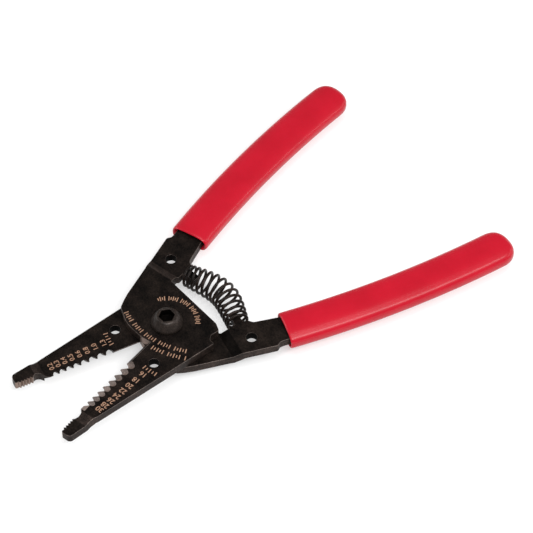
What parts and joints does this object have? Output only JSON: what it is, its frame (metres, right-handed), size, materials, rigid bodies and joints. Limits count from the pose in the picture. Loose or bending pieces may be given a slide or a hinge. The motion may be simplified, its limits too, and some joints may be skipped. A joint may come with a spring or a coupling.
{
  "type": "wire stripper",
  "caption": "Spring-opened plier-type wire stripper and cutter: crossed stamped steel arms, notched blades, serrated nose, dipped grips.",
  "frame": {"origin": "on the pivot axis, at the flat end of the pivot screw, which is the lowest point of the tool", "axes": "+Z along the pivot axis towards the screw head, +Y from the jaws towards the handles, +X to the right seen from above"},
  "size_m": [0.1058, 0.1722, 0.0141],
  "materials": {
    "black_oxide_steel": "black oxide, satin",
    "red_vinyl": "dipped vinyl, semi-gloss",
    "dark_fastener": "black oxide, satin",
    "spring_wire": "oil-tempered wire, satin"
  },
  "bodies": {
    "rear": {"rear_arm": "black_oxide_steel", "rear_grip": "red_vinyl", "pivot_screw": "dark_fastener", "pivot_nut": "dark_fastener", "return_spring": "spring_wire"},
    "front": {"front_arm": "black_oxide_steel", "front_grip": "red_vinyl"}
  },
  "joints": [
    {"name": "arm_pivot", "type": "hinge", "parent": "rear", "child": "front", "pos_m": [0, 0, 0.00686], "axis": [0, 0, 1], "range_deg": [-25.4, 1], "stiffness_Nm_per_rad": 0.6, "deforming": ["return_spring"]}
  ]
}
